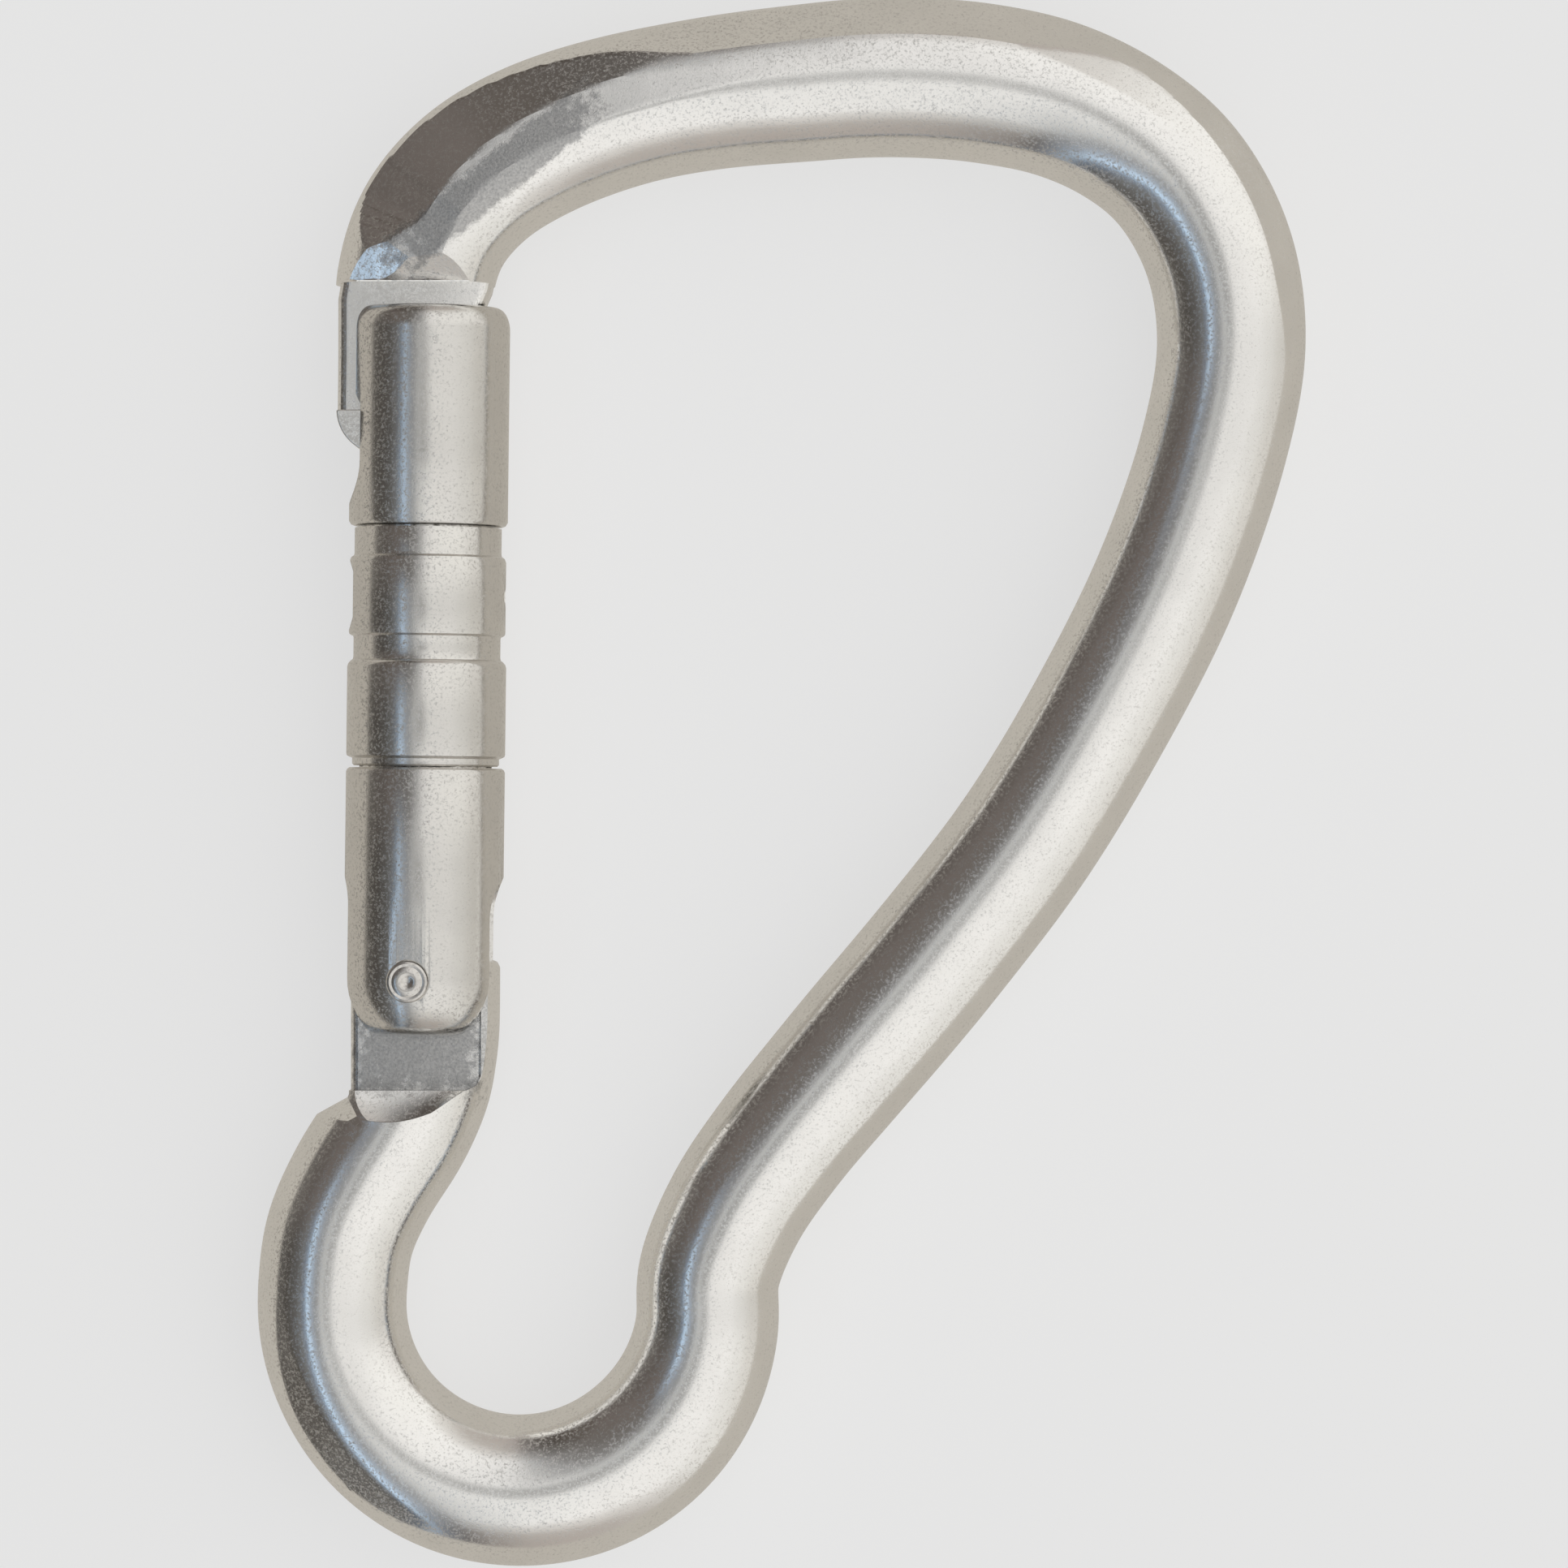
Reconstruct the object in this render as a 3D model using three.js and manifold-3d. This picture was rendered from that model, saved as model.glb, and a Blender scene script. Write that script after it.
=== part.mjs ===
// A large locking carabiner: a C-shaped forged aluminium body, a tubular gate on a riveted hinge,
// and a quarter-turn locking collar on the gate with its bolt, pin and springs inside.
//
// Millimetres. The carabiner lies flat: +X across it, +Y from the small hook end to the wide end,
// +Z up through its thickness. The origin is at the centre of the bounding box's bottom.

import * as THREE from "three";
import { mergeVertices } from "three/addons/utils/BufferGeometryUtils.js";
import Module from "manifold-3d";

const wasm = await Module();
wasm.setup();

// ---- Driving dimensions -------------------------------------------------------------------------

const BAR_THICKNESS = 12.0; // the bar's size through the carabiner, along Z
const BAR_SIDES = 16; // facets round the bar, with one facing straight up, down, in and out
const CURVE_STEPS = 3; // stations between two route points

// The gate's own frame: u across it, v along it from the hinge rivet's height, w through it (Z).
const GATE_FOOT = new THREE.Vector2(-30.25, -16.4);
const GATE_TILT = -0.0119; // radians about Z
const GATE_R = 6.65;
const GATE_SIDES = 32;
const RIVET_U = -0.97; // the rivet is a little outside the gate's axis
const RIVET_R = 1.45;
const RIVET_HEAD_R = 1.75;
const RIVET_HEAD_W = 6.98; // outer end of each head, from the middle plane
const RUNNING_GAP = 0.15; // radial clearance where one piece turns or slides on another

const BARREL_FOOT_V = -4.6;
const BARREL_FOOT_R = 4.4;
const BARREL_TAPER_V = -1.6;
const COLLAR_FOOT_V = 17.75; // the barrel's shoulder under the collar
const SLEEVE_FOOT_V = 37.8; // the barrel's shoulder under the nose sleeve
const SPIGOT_TOP_V = 41.2;
const CORE_R = 5.55; // the barrel inside the collar
const SPIGOT_R = 5.3; // the barrel inside the nose sleeve
const BORE_R = 3.0;
const BORE_TOP_V = 39.7;

const SLEEVE_TOP_V = 56.3;
const SLEEVE_BORE_R = 5.45;
const SLEEVE_EDGE = 1.05; // rounding of the sleeve's open end

const GROOVE_R = 6.15; // bottom of the three grip grooves
const COLLAR_BORE_R = CORE_R + RUNNING_GAP;
const END_GAP = 0.15; // axial gap between pieces that are stacked on the barrel

const KEYHOLE_NARROW = 2.8; // half widths of the sleeve's keyhole slot
const KEYHOLE_WIDE = 3.6;
const KEYHOLE_STEP_V = 48.0;
const KEYHOLE_FOOT_V = 43.3;
const NECK_HALF = 2.4; // half thickness of the nose's neck, and of its T head
const HEAD_HALF = 3.3;

const TANG_HALF = 2.1; // half thickness of the hinge tang, of its rim, and of the slots for them
const RIM_HALF = 3.1;
const TANG_SLOT_HALF = 2.4;
const RIM_SLOT_HALF = 3.45;
const TANG_SLOT_TOP_V = 8.7;

const DRIVE_PIN_V = 32.15;
const DRIVE_PIN_R = 0.95;
const DRIVE_PIN_HALF = 6.0; // half of the pin's length
const SPOT_FACE_R = 3.05; // the flat round the pin's outer end
const SPOT_FACE_U = -6.1;
const PLUNGER_R = BORE_R - RUNNING_GAP;
const PLUNGER_V = [4.6, 8.4, 19.9]; // foot, shoulder, and top of the stem
const WASHER_V = [21.0, 21.6];
const BOLT_V = [21.75, 34.0];
const CLOSING_SPRING_V = [8.55, 20.85];
const RETURN_SPRING_V = [34.15, 39.5];
const SPRING_R = 2.1; // mean radius of both coils
const WIRE_R = 0.3;

// ---- Solids -------------------------------------------------------------------------------------

// A closed three.js geometry as a manifold-3d solid.
function solid(geometry) {
  const bare = geometry.clone().deleteAttribute("normal").deleteAttribute("uv");
  const merged = mergeVertices(bare, 1e-4);
  return new wasm.Manifold(
    new wasm.Mesh({
      numProp: 3,
      vertProperties: new Float32Array(merged.attributes.position.array),
      triVerts: new Uint32Array(merged.index.array),
    }),
  );
}

// A manifold-3d solid as a three.js geometry.
function geometryOf(made) {
  const mesh = made.getMesh();
  const positions = new Float32Array(mesh.numVert * 3);
  for (let i = 0; i < mesh.numVert; i++) {
    const from = i * mesh.numProp;
    positions.set(mesh.vertProperties.subarray(from, from + 3), i * 3);
  }
  const geometry = new THREE.BufferGeometry();
  geometry.setAttribute("position", new THREE.BufferAttribute(positions, 3));
  geometry.setIndex(new THREE.BufferAttribute(new Uint32Array(mesh.triVerts), 1));
  geometry.computeVertexNormals();
  return geometry;
}

// A closed surface through rings of the same number of points, capped flat at both ends.
function loft(rings) {
  const n = rings[0].length;
  const points = rings.flat();
  const foot = points.push(centreOf(rings[0])) - 1;
  const top = points.push(centreOf(rings[rings.length - 1])) - 1;
  const last = (rings.length - 1) * n;
  const faces = [];
  for (let j = 0; j < n; j++) {
    const next = (j + 1) % n;
    faces.push(foot, next, j, top, last + j, last + next);
    for (let i = 0; i < rings.length - 1; i++) {
      const [a, b, c, d] = [i * n + j, i * n + next, (i + 1) * n + j, (i + 1) * n + next];
      faces.push(a, b, d, a, d, c);
    }
  }
  const geometry = new THREE.BufferGeometry().setFromPoints(points);
  geometry.setIndex(faces);
  return geometry;
}

function centreOf(ring) {
  const sum = new THREE.Vector3();
  ring.forEach((point) => sum.add(point));
  return sum.divideScalar(ring.length);
}

// A box between two corners.
function box(low, high) {
  const size = high.map((value, i) => value - low[i]);
  const geometry = new THREE.BoxGeometry(...size);
  geometry.translate(...low.map((value, i) => value + size[i] / 2));
  return solid(geometry);
}

// A solid of revolution about the gate's axis, from [radius, v] pairs that start and end on the axis.
function turned(profile, sides = GATE_SIDES) {
  return solid(new THREE.LatheGeometry(profile.map(([r, v]) => new THREE.Vector2(r, v)), sides));
}

// A plain rod along the gate's axis.
function rod(radius, [foot, top], sides = GATE_SIDES) {
  return turned([[0, foot], [radius, foot], [radius, top], [0, top]], sides);
}

// A rod through (u, v) along w, between w = -half and w = half.
function crossRod(radius, u, v, half, sides = 24) {
  const geometry = new THREE.CylinderGeometry(radius, radius, 2 * half, sides);
  geometry.rotateX(Math.PI / 2);
  geometry.translate(u, v, 0);
  return solid(geometry);
}

// A flat plate: a shape in the XY plane, half thick on each side of the middle plane.
function plate(shape, half) {
  const options = { depth: 2 * half, bevelEnabled: false, curveSegments: 10 };
  const geometry = new THREE.ExtrudeGeometry(shape, options);
  geometry.translate(0, 0, -half);
  return solid(geometry);
}

// A coil spring about the gate's axis, as one wire along a helix.
function coil([foot, top], turns) {
  class Helix extends THREE.Curve {
    getPoint(t, target = new THREE.Vector3()) {
      const angle = 2 * Math.PI * turns * t;
      const v = foot + WIRE_R + t * (top - foot - 2 * WIRE_R);
      return target.set(SPRING_R * Math.cos(angle), v, SPRING_R * Math.sin(angle));
    }
  }
  const section = new THREE.Shape().absarc(0, 0, WIRE_R, 0, 2 * Math.PI);
  const options = { steps: Math.round(14 * turns), extrudePath: new Helix(), curveSegments: 3 };
  return solid(new THREE.ExtrudeGeometry(section, options));
}

// ---- The body -----------------------------------------------------------------------------------

const point = (x, y) => new THREE.Vector3(x, y, 0);

// Points on an arc, from one angle to another in degrees.
function arcPoints(x, y, radius, from, to, steps) {
  return Array.from({ length: steps + 1 }, (_, i) => {
    const angle = THREE.MathUtils.degToRad(from + ((to - from) * i) / steps);
    return point(x + radius * Math.cos(angle), y + radius * Math.sin(angle));
  });
}

// The bar's centre line, from the nose over the wide end, down the spine and round the hook.
function barRoute() {
  const nose = [point(-31.0, 38.5), point(-30.9, 42.3), point(-29.4, 46.7), point(-25.9, 50.8)];
  nose.push(point(-21.0, 53.8), point(-14.0, 56.3), point(-6.0, 57.9));
  const crown = arcPoints(9.3, -0.8, 60, 96.5, 83.5, 5);
  const shoulder = [point(22.6, 57.5), point(28.4, 54.8), point(32.9, 51.0), point(36.4, 44.6)];
  const spine = [point(37.5, 37.0), point(36.1, 28.6), point(32.1, 17.0), point(26.6, 6.0)];
  spine.push(point(20.2, -4.6), point(12.7, -14.4), point(4.8, -23.8));
  const neck = [point(-0.3, -30.0), point(-4.1, -35.6)];
  const hook = arcPoints(-22.1, -43.4, 15.8, 7, -187, 17);
  const root = [point(-37.2, -37.6), point(-35.1, -33.0), point(-32.6, -28.9), point(-30.9, -25.0)];
  const smooth = new THREE.CatmullRomCurve3(
    [...nose, ...crown, ...shoulder, ...spine, ...neck, ...hook, ...root],
    false,
    "centripetal",
  );
  const spans = smooth.points.length - 1;
  return smooth.getPoints(spans * CURVE_STEPS);
}

// The bar's width in the plane, by how far along the route it is: thicker over the wide end.
function barWidth(share) {
  const widths = [13.5, 13.3, 12.7, 13.2, 13.3, 12.7, 12.5, 12.3, 12.3, 12.2, 12.3, 12.4, 12.0];
  widths.push(11.9, 12.6, 12.6, 12.4, 12.4, 11.6);
  const at = share * (widths.length - 1);
  const i = Math.min(Math.floor(at), widths.length - 2);
  return THREE.MathUtils.lerp(widths[i], widths[i + 1], at - i);
}

function barSolid() {
  const route = barRoute();
  const lengths = route.map((p, i) => (i ? p.distanceTo(route[i - 1]) : 0));
  const total = lengths.reduce((a, b) => a + b);
  // Vertices lie half a facet off the axes, and the facets, not the vertices, reach the full size.
  const reach = 1 / Math.cos(Math.PI / BAR_SIDES);
  let travelled = 0;
  const rings = route.map((centre, i) => {
    travelled += lengths[i];
    const ahead = route[Math.min(i + 1, route.length - 1)];
    const behind = route[Math.max(i - 1, 0)];
    const along = new THREE.Vector3().subVectors(ahead, behind).normalize();
    const across = new THREE.Vector3(-along.y, along.x, 0);
    const halfWidth = (barWidth(travelled / total) / 2) * reach;
    const halfThickness = (BAR_THICKNESS / 2) * reach;
    return Array.from({ length: BAR_SIDES }, (_, j) => {
      const angle = (2 * Math.PI * (j + 0.5)) / BAR_SIDES;
      const out = across.clone().multiplyScalar(halfWidth * Math.cos(angle));
      return out.add(centre).setZ(halfThickness * Math.sin(angle));
    });
  });
  return solid(loft(rings));
}

const NOSE_EDGE_X = -37.5; // the outer edge of the nose's flat tongue
const SHOULDER_Y = 42.0; // where the bar ends and the tongue starts
const HEAD_SHOULDER_Y = 31.2; // top of the T head
const HEAD_FOOT_Y = 27.5;
const HEAD_CORNER = 3.7;

// The tongue's outline down to a given height, with its rounded foot at the head.
function tongueShape(top, innerX) {
  const shape = new THREE.Shape();
  shape.moveTo(innerX, top);
  shape.lineTo(NOSE_EDGE_X, top);
  const corner = Math.PI;
  shape.absarc(NOSE_EDGE_X + HEAD_CORNER, HEAD_FOOT_Y + HEAD_CORNER, HEAD_CORNER, corner, 1.5 * Math.PI);
  shape.absarc(innerX - 1.5, HEAD_FOOT_Y + 1.5, 1.5, 1.5 * Math.PI, 2 * Math.PI);
  return shape;
}

function noseSolid() {
  const neck = plate(tongueShape(SHOULDER_Y + 3, -25.2), NECK_HALF);
  const head = plate(tongueShape(HEAD_SHOULDER_Y, -26.2), HEAD_HALF);
  return neck.add(head);
}

const TANG_EDGE_X = -36.2; // the tang's outer edge
const RIVET = new THREE.Vector2(
  GATE_FOOT.x + RIVET_U * Math.cos(GATE_TILT),
  GATE_FOOT.y + RIVET_U * Math.sin(GATE_TILT),
);
const TANG_R = RIVET.x - TANG_EDGE_X; // the tang's rounded outer corner, about the rivet
const CAM_HEIGHT = 4.4; // the tang's flat top, above the rivet's centre: the plunger rests on it
const CAM_CORNER = 4.6; // and its inner corner, which lifts the plunger as the gate opens
const ROOT_Y = -26.1; // where the bar ends and the tang starts

function tangSolid() {
  const shape = new THREE.Shape();
  shape.moveTo(TANG_EDGE_X, ROOT_Y - 3);
  shape.lineTo(-25.5, ROOT_Y - 3);
  shape.lineTo(-24.6, -22.5);
  shape.lineTo(-24.7, -15.2);
  shape.lineTo(RIVET.x + CAM_CORNER, RIVET.y + CAM_HEIGHT);
  shape.absarc(RIVET.x, RIVET.y, TANG_R, Math.PI - Math.asin(CAM_HEIGHT / TANG_R), Math.PI);
  const web = plate(shape, TANG_HALF);
  const edge = new THREE.Shape();
  edge.moveTo(-27.6, ROOT_Y - 3);
  edge.lineTo(-25.0, ROOT_Y - 3);
  edge.quadraticCurveTo(-23.8, -25.6, -23.9, -22.4);
  edge.lineTo(-24.2, -15.3);
  edge.quadraticCurveTo(-24.5, -14.6, -25.4, -15.4);
  edge.lineTo(-25.3, -24.2);
  const rim = plate(edge, RIM_HALF);
  return web.add(rim).subtract(crossRod(RIVET_R + RUNNING_GAP + 0.05, RIVET.x, RIVET.y, 5));
}

function bodySolid() {
  const half = BAR_THICKNESS;
  const noseEnd = box([-40, 30, -half], [-20, SHOULDER_Y, half]);
  const rootEnd = box([-40, ROOT_Y, -half], [-20, -15, half]);
  return barSolid().subtract(noseEnd).subtract(rootEnd).add(noseSolid()).add(tangSolid());
}

// ---- The gate -----------------------------------------------------------------------------------

// The hinge slot's cutter: narrow all the way through, wide at the inner side for the tang's rim.
function tangSlot() {
  const cutter = (half, low, high) => {
    const straight = box([low, BARREL_FOOT_V - 1, -half], [high, TANG_SLOT_TOP_V - half, half]);
    const end = new THREE.CylinderGeometry(half, half, high - low, 16);
    end.rotateZ(Math.PI / 2);
    end.translate((low + high) / 2, TANG_SLOT_TOP_V - half, 0);
    return straight.add(solid(end));
  };
  return cutter(TANG_SLOT_HALF, -9, 9).add(cutter(RIM_SLOT_HALF, 2.6, 9));
}

// The two quarter-turn slots that the drive pin sweeps: a quarter disc on each side of the bore,
// and the pin's own width at both ends of the turn.
function pinSlots() {
  const half = DRIVE_PIN_R + RUNNING_GAP;
  const reach = GATE_R + 2;
  const [low, high] = [DRIVE_PIN_V - half, DRIVE_PIN_V + half];
  const quarter = new THREE.Shape();
  quarter.lineTo(0, -reach);
  quarter.absarc(0, 0, reach, -Math.PI / 2, 0);
  const geometry = new THREE.ExtrudeGeometry(quarter, { depth: high - low, bevelEnabled: false });
  geometry.rotateX(-Math.PI / 2);
  geometry.translate(0, low, 0);
  const oneSide = geometry.clone().rotateY(-Math.PI / 2);
  const otherSide = geometry.clone().rotateY(Math.PI / 2);
  const atRest = box([-reach, low, -half], [reach, high, half]);
  const turnedOver = box([-half, low, -reach], [half, high, reach]);
  return solid(oneSide).add(solid(otherSide)).add(atRest).add(turnedOver);
}

function barrelSolid() {
  const outside = turned([
    [0, BARREL_FOOT_V],
    [BARREL_FOOT_R, BARREL_FOOT_V],
    [GATE_R - 0.15, BARREL_TAPER_V],
    [GATE_R, BARREL_TAPER_V + 1.2],
    [GATE_R, COLLAR_FOOT_V - 0.35],
    [GATE_R - 0.25, COLLAR_FOOT_V],
    [CORE_R, COLLAR_FOOT_V],
    [CORE_R, SLEEVE_FOOT_V],
    [SPIGOT_R, SLEEVE_FOOT_V],
    [SPIGOT_R, SPIGOT_TOP_V],
    [0, SPIGOT_TOP_V],
  ]);
  const bore = rod(BORE_R, [BARREL_FOOT_V - 1, BORE_TOP_V]);
  const rivetHole = crossRod(RIVET_R + 0.1, RIVET_U, 0, GATE_R + 1);
  const seat = crossRod(RIVET_HEAD_R + 0.1, RIVET_U, 0, 8).subtract(
    crossRod(RIVET_HEAD_R + 1, RIVET_U, 0, RIVET_HEAD_W - 0.6),
  );
  return outside
    .subtract(bore)
    .subtract(tangSlot())
    .subtract(pinSlots())
    .subtract(rivetHole)
    .subtract(seat);
}

// The tube at the gate's free end, with the keyhole slot that takes the nose.
function noseSleeveSolid() {
  const foot = SLEEVE_FOOT_V + END_GAP;
  const round = [0, 0.25, 0.5, 0.75, 1].map((share) => {
    const angle = (share * Math.PI) / 2;
    const inset = SLEEVE_EDGE * (1 - Math.cos(angle));
    return [GATE_R - inset, SLEEVE_TOP_V - SLEEVE_EDGE * (1 - Math.sin(angle))];
  });
  const tube = turned([
    [SLEEVE_BORE_R, foot],
    [GATE_R - 0.4, foot],
    [GATE_R, foot + 0.4],
    ...round,
    [SLEEVE_BORE_R, SLEEVE_TOP_V],
    [SLEEVE_BORE_R, foot],
  ]);
  const narrow = box([-9, KEYHOLE_STEP_V - 1, -KEYHOLE_NARROW], [-2, 60, KEYHOLE_NARROW]);
  const wide = box([-9, KEYHOLE_FOOT_V, -KEYHOLE_WIDE], [-2, KEYHOLE_STEP_V, KEYHOLE_WIDE]);
  const end = new THREE.CylinderGeometry(KEYHOLE_WIDE, KEYHOLE_WIDE, 7, 20);
  end.scale(0.52, 1, 1);
  end.rotateZ(Math.PI / 2);
  end.translate(-5.5, KEYHOLE_FOOT_V, 0);
  return tube.subtract(narrow.add(wide).add(solid(end)));
}

// The locking collar: two grip rings between three grooves.
function collarSolid() {
  const foot = COLLAR_FOOT_V + END_GAP;
  const top = SLEEVE_FOOT_V - END_GAP + 0.15;
  const [lowRing, lowEnd, highRing, highEnd] = [18.65, 26.7, 28.8, 35.5];
  const chamfer = 0.35;
  const ring = turned([
    [COLLAR_BORE_R, foot],
    [GROOVE_R, foot],
    [GROOVE_R, lowRing],
    [GATE_R, lowRing],
    [GATE_R, lowEnd - chamfer],
    [GROOVE_R, lowEnd],
    [GROOVE_R, highRing],
    [GATE_R - 0.1, highRing],
    [GATE_R - 0.1, highEnd - chamfer],
    [GROOVE_R, highEnd],
    [GROOVE_R, top],
    [COLLAR_BORE_R, top],
    [COLLAR_BORE_R, foot],
  ]);
  const spot = new THREE.CylinderGeometry(SPOT_FACE_R, SPOT_FACE_R, 3, 32);
  spot.rotateZ(Math.PI / 2);
  spot.translate(SPOT_FACE_U - 1.5, DRIVE_PIN_V, 0);
  return ring.subtract(drivePinSolid(DRIVE_PIN_R + 0.1, GATE_R + 1)).subtract(solid(spot));
}

function drivePinSolid(radius, half) {
  const geometry = new THREE.CylinderGeometry(radius, radius, 2 * half, 16);
  geometry.rotateZ(Math.PI / 2);
  geometry.translate(0, DRIVE_PIN_V, 0);
  return solid(geometry);
}

function boltSolid() {
  const slot = box([-0.7, BOLT_V[0] - 1, -3], [0.7, BOLT_V[0] + 2.2, 3]);
  return rod(PLUNGER_R, BOLT_V, 24)
    .subtract(drivePinSolid(DRIVE_PIN_R + 0.1, 4))
    .subtract(slot);
}

// The plunger that closes the gate: a round foot, and a stem that is flattened to a blade.
function plungerSolid() {
  const [foot, shoulder, top] = PLUNGER_V;
  const body = turned(
    [[0, foot], [PLUNGER_R - 0.5, foot], [PLUNGER_R, foot + 0.5], [PLUNGER_R, shoulder], [0, shoulder]],
    24,
  );
  const stem = rod(1.4, [shoulder - 0.5, top], 16);
  return body.add(stem.intersect(box([-2, 0, -0.6], [2, top + 1, 0.6])));
}

function washerSolid() {
  return rod(PLUNGER_R, WASHER_V, 24).subtract(rod(1.5, [WASHER_V[0] - 1, WASHER_V[1] + 1], 24));
}

function rivetSolid() {
  const headFoot = RIVET_HEAD_W - 0.5;
  const shank = crossRod(RIVET_R, RIVET_U, 0, RIVET_HEAD_W - 0.1);
  const heads = [-1, 1].map((side) => {
    const profile = [[0, 0], [RIVET_HEAD_R, 0], [RIVET_HEAD_R, 0.25], [1.2, 0.5], [0.6, 0.5], [0, 0.3]];
    const points = profile.map(([r, h]) => new THREE.Vector2(r, h));
    const geometry = new THREE.LatheGeometry(points, 24);
    geometry.rotateX((side * Math.PI) / 2);
    geometry.translate(RIVET_U, 0, side * headFoot);
    return solid(geometry);
  });
  return shank.intersect(crossRod(9, RIVET_U, 0, headFoot + 0.1)).add(heads[0]).add(heads[1]);
}

// ---- Materials and the assembly -----------------------------------------------------------------

function metal(color, roughness) {
  return new THREE.MeshStandardMaterial({ color, roughness, metalness: 1 });
}

const polished = metal(0xd9d6d0, 0.18);
const turnedFinish = metal(0xcfccc6, 0.28);
const steel = metal(0xb4b4b2, 0.3);
const springSteel = metal(0x8c8c8a, 0.35);

function node(name, made, material) {
  const mesh = new THREE.Mesh(geometryOf(made), material);
  mesh.name = name;
  return mesh;
}

const gate = new THREE.Group();
gate.position.set(GATE_FOOT.x, GATE_FOOT.y, 0);
gate.rotation.z = GATE_TILT;
gate.add(
  node("gate_barrel", barrelSolid(), turnedFinish),
  node("nose_sleeve", noseSleeveSolid(), turnedFinish),
  node("hinge_rivet", rivetSolid(), steel),
  node("lock_collar", collarSolid(), turnedFinish),
  node("collar_drive_pin", drivePinSolid(DRIVE_PIN_R, DRIVE_PIN_HALF), steel),
  node("lock_bolt", boltSolid(), steel),
  node("lock_return_spring", coil(RETURN_SPRING_V, 5), springSteel),
  node("bolt_thrust_washer", washerSolid(), steel),
  node("closing_spring", coil(CLOSING_SPRING_V, 8), springSteel),
  node("closing_plunger", plungerSolid(), steel),
);

const carabiner = new THREE.Group();
carabiner.add(node("body", bodySolid(), polished), gate);
const bounds = new THREE.Box3().setFromObject(carabiner);
const middle = bounds.getCenter(new THREE.Vector3());
carabiner.position.set(-middle.x, -middle.y, -bounds.min.z);

export default carabiner;
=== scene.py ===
"""Looks of the locking carabiner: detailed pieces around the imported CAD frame, metal finishes,
floor, light and camera. Shapes are drawn in millimetres about the bar's middle plane, and placed
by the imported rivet's position."""

import math

import bmesh
import bpy
from mathutils import Matrix, Vector


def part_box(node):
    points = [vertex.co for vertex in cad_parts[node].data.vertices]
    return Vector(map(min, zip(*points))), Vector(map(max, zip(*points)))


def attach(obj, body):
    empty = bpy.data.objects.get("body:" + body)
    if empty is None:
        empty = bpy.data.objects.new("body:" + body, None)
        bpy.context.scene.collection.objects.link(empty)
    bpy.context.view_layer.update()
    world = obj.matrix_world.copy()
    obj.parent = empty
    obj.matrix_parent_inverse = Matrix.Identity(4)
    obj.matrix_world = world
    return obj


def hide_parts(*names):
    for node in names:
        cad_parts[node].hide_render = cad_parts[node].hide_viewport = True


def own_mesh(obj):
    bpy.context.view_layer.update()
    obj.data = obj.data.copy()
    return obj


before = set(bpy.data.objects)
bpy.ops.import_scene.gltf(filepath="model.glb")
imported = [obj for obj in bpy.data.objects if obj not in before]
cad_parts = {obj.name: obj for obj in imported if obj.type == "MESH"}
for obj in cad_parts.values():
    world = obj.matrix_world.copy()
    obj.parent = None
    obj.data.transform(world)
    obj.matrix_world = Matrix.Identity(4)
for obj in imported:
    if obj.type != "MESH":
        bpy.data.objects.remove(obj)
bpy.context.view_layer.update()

MM = 0.001

# ---- Sizes, in millimetres ----------------------------------------------------------------------

# Half thicknesses of the bar, the nose's flat neck, its head, the tang and the tang's rim.
HALF_THICKNESS = 6.0
NECK_HALF = 2.4
HEAD_HALF = 3.3
TANG_HALF = 2.1
RIM_HALF = 3.1
TANG_EDGE_X = -36.2
POCKET_Y = -25.4  # the foot of the tang's pocket

# The gate's own frame starts at GATE_FOOT and is turned by GATE_TILT, in radians. In it, U is across
# the gate, V along it and W through it.
GATE_FOOT = (-30.25, -16.4)
GATE_TILT = -0.0119
GATE_R = 6.65
GROOVE_R = 6.15
CORE_R = 5.55  # the barrel's radius inside the collar
COLLAR_BORE_R = 5.7
SLEEVE_BORE_R = 5.45
COLLAR_TOP_V = 37.8
SLEEVE_V = (37.95, 56.3)
PIN_V = 32.15
PIN_PATH_HALF = 1.1
RIVET_U = -0.97
CLOSING_SPRING_V = (8.55, 20.85)
SPRING_R = 2.1  # mean radius
WIRE_R = 0.3
VIEW_WIDTH = 131.4  # what the frame spans at the bar's middle plane
RIVET = (
    GATE_FOOT[0] + RIVET_U * math.cos(GATE_TILT),
    GATE_FOOT[1] + RIVET_U * math.sin(GATE_TILT),
)

low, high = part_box("hinge_rivet")
SHIFT = (low + high) / 2 - Vector((RIVET[0], RIVET[1], 0)) * MM
DRAWING = Matrix.Translation(SHIFT) @ Matrix.Scale(MM, 4)
GATE = DRAWING @ Matrix.Translation((*GATE_FOOT, 0)) @ Matrix.Rotation(GATE_TILT, 4, "Z")


# ---- Mesh helpers -------------------------------------------------------------------------------


def new_object(name, bm):
    """A linked object from a bmesh, with its faces turned outwards."""
    bmesh.ops.recalc_face_normals(bm, faces=bm.faces)
    mesh = bpy.data.meshes.new(name)
    bm.to_mesh(mesh)
    bm.free()
    obj = bpy.data.objects.new(name, mesh)
    bpy.context.scene.collection.objects.link(obj)
    return obj


def loft(name, rings):
    """A closed tube through rings of points, capped at both ends."""
    bm = bmesh.new()
    rows = [[bm.verts.new(p) for p in ring] for ring in rings]
    count = len(rings[0])
    for a, b in zip(rows, rows[1:]):
        for j in range(count):
            bm.faces.new((a[j], a[(j + 1) % count], b[(j + 1) % count], b[j]))
    bm.faces.new(rows[0])
    bm.faces.new(rows[-1])
    return new_object(name, bm)


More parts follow.
